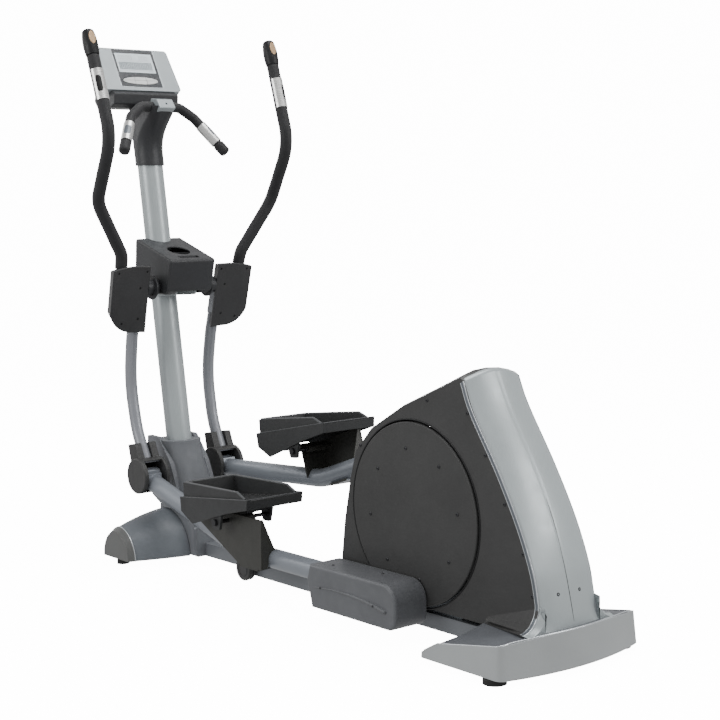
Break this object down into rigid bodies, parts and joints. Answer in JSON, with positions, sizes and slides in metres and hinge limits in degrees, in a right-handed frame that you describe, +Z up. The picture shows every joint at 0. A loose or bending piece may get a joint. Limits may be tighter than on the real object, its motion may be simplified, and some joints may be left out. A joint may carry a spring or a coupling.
{
  "type": "elliptical trainer",
  "caption": "Rear-drive elliptical trainer with swinging arms, bent link tubes with foot trays, a console on a leaning mast and a tall drive housing.",
  "frame": {"origin": "on the floor under the middle of the machine, midway between its front and rear ends", "axes": "+X to the rear drive housing, +Y to the right of a user who faces the console, +Z up"},
  "size_m": [2.0794, 0.704, 1.7068],
  "materials": {
    "silver_steel": "satin silver-grey powder coat",
    "dark_plastic": "fine moulded texture, dark grey",
    "pedal_plastic": "moulded grain, dark grey",
    "disc_plastic": "fine moulded texture",
    "black_plastic": "satin",
    "silver_plastic": "satin silver paint on plastic",
    "foam": "closed-cell foam",
    "gold_plastic": "satin gold",
    "pulse_metal": "brushed",
    "steel": "machined",
    "cast_iron": "cast",
    "panel_black": "printed overlay",
    "screen": "grey-blue display",
    "key_white": "satin",
    "rubber": "rubber"
  },
  "bodies": {
    "frame": {"front_frame": "silver_steel", "front_covers": "dark_plastic", "front_end_caps": "silver_plastic", "mast_boot": "dark_plastic", "mast_boot_plates": "dark_plastic", "mast_tube": "silver_steel", "neck_cover": "dark_plastic", "console_shell": "silver_plastic", "console_panel": "panel_black", "console_screen": "screen", "console_tray": "dark_plastic", "fixed_handlebar": "foam", "fixed_pulse_plates": "pulse_metal", "handlebar_clamp": "silver_plastic", "bottle_holder": "dark_plastic", "arm_axle": "steel", "left_housing_shell": "dark_plastic", "right_housing_shell": "dark_plastic", "back_cover": "silver_plastic", "rear_skirt": "silver_plastic", "rear_deck": "dark_plastic", "rear_frame": "silver_steel", "levelling_feet": "rubber", "drive_frame": "silver_steel", "crank_bearings": "steel", "drive_belt": "rubber", "housing_screws": "steel"},
    "crank": {"crank_axle": "steel", "left_crank_disc": "disc_plastic", "right_crank_disc": "disc_plastic", "drive_pulley": "black_plastic", "disc_screws": "steel"},
    "flywheel": {"flywheel": "cast_iron"},
    "belt_idler": {"belt_idler": "steel"},
    "rail_knob": {"rail_knob": "dark_plastic"},
    "key_left": {"console_key_left": "key_white"},
    "key_middle": {"console_key_middle": "key_white"},
    "key_right": {"console_key_right": "key_white"},
    "left_arm": {"left_arm_tube": "silver_steel", "left_handle_grip": "foam", "left_handle_pod": "black_plastic", "left_pulse_plate": "pulse_metal", "left_arm_cover": "dark_plastic", "left_pivot_shroud": "dark_plastic"},
    "left_thumb": {"left_thumb_rocker": "gold_plastic"},
    "left_link": {"left_link_tube": "silver_steel", "left_pedal_bolt": "steel", "left_link_cover": "dark_plastic"},
    "left_pedal": {"left_pedal": "pedal_plastic"},
    "right_arm": {"right_arm_tube": "silver_steel", "right_handle_grip": "foam", "right_handle_pod": "black_plastic", "right_pulse_plate": "pulse_metal", "right_arm_cover": "dark_plastic", "right_pivot_shroud": "dark_plastic"},
    "right_thumb": {"right_thumb_rocker": "gold_plastic"},
    "right_link": {"right_link_tube": "silver_steel", "right_pedal_bolt": "steel", "right_link_cover": "dark_plastic"},
    "right_pedal": {"right_pedal": "pedal_plastic"}
  },
  "joints": [
    {"name": "crank_turn", "type": "hinge", "parent": "frame", "child": "crank", "pos_m": [0.5277, 0, 0.332], "axis": [0, 1, 0], "continuous": true},
    {"name": "flywheel_turn", "type": "hinge", "parent": "frame", "child": "flywheel", "pos_m": [0.6877, 0, 0.56], "axis": [0, 1, 0], "continuous": true},
    {"name": "belt_idler_turn", "type": "hinge", "parent": "frame", "child": "belt_idler", "pos_m": [0.739, 0.027, 0.45], "axis": [0, 1, 0], "continuous": true},
    {"name": "left_arm_swing", "type": "hinge", "parent": "frame", "child": "left_arm", "pos_m": [-0.7393, 0, 0.897], "axis": [0, 1, 0], "range_deg": [-18.2, 21.2]},
    {"name": "right_arm_swing", "type": "hinge", "parent": "frame", "child": "right_arm", "pos_m": [-0.7393, 0, 0.897], "axis": [0, 1, 0], "range_deg": [-21.2, 18.2]},
    {"name": "left_link_turn", "type": "hinge", "parent": "left_arm", "child": "left_link", "pos_m": [-0.70986, -0.157, 0.28957], "axis": [0, 1, 0], "range_deg": [-21.2, 18.2]},
    {"name": "right_link_turn", "type": "hinge", "parent": "right_arm", "child": "right_link", "pos_m": [-0.74275, 0.157, 0.28887], "axis": [0, 1, 0], "range_deg": [-18.2, 21.2]},
    {"name": "left_pedal_tilt", "type": "hinge", "parent": "left_link", "child": "left_pedal", "pos_m": [-0.1793, -0.16, 0.226], "axis": [0, 1, 0], "range_deg": [-2, 14]},
    {"name": "right_pedal_tilt", "type": "hinge", "parent": "right_link", "child": "right_pedal", "pos_m": [-0.21941, 0.16, 0.39679], "axis": [0, 1, 0], "range_deg": [-15.4, 0.6]},
    {"name": "key_left_rock", "type": "hinge", "parent": "frame", "child": "key_left", "pos_m": [-0.93846, -0.045, 1.57785], "axis": [0, 1, 0], "range_deg": [-2, 2], "stiffness_Nm_per_rad": 0.4},
    {"name": "key_middle_rock", "type": "hinge", "parent": "frame", "child": "key_middle", "pos_m": [-0.93846, 0, 1.57785], "axis": [0, 1, 0], "range_deg": [-2, 2], "stiffness_Nm_per_rad": 0.4},
    {"name": "key_right_rock", "type": "hinge", "parent": "frame", "child": "key_right", "pos_m": [-0.93846, 0.045, 1.57785], "axis": [0, 1, 0], "range_deg": [-2, 2], "stiffness_Nm_per_rad": 0.4},
    {"name": "left_thumb_rock", "type": "hinge", "parent": "left_arm", "child": "left_thumb", "pos_m": [-0.67807, -0.328, 1.67813], "axis": [0, 1, 0], "range_deg": [-3, 3], "stiffness_Nm_per_rad": 0.3},
    {"name": "right_thumb_rock", "type": "hinge", "parent": "right_arm", "child": "right_thumb", "pos_m": [-0.63592, 0.328, 1.67368], "axis": [0, 1, 0], "range_deg": [-3, 3], "stiffness_Nm_per_rad": 0.3},
    {"name": "rail_knob_turn", "type": "hinge", "parent": "frame", "child": "rail_knob", "pos_m": [-0.2703, -0.088, 0.044], "axis": [0, 1, 0], "continuous": true}
  ],
  "couplings": [
    {"joint": "flywheel_turn", "follows": "crank_turn", "ratio": 7.6},
    {"joint": "belt_idler_turn", "follows": "crank_turn", "ratio": -9.5},
    {"joint": "right_arm_swing", "follows": "left_arm_swing", "ratio": -1},
    {"joint": "left_link_turn", "follows": "left_arm_swing", "ratio": -1},
    {"joint": "right_link_turn", "follows": "left_arm_swing", "ratio": 1}
  ]
}
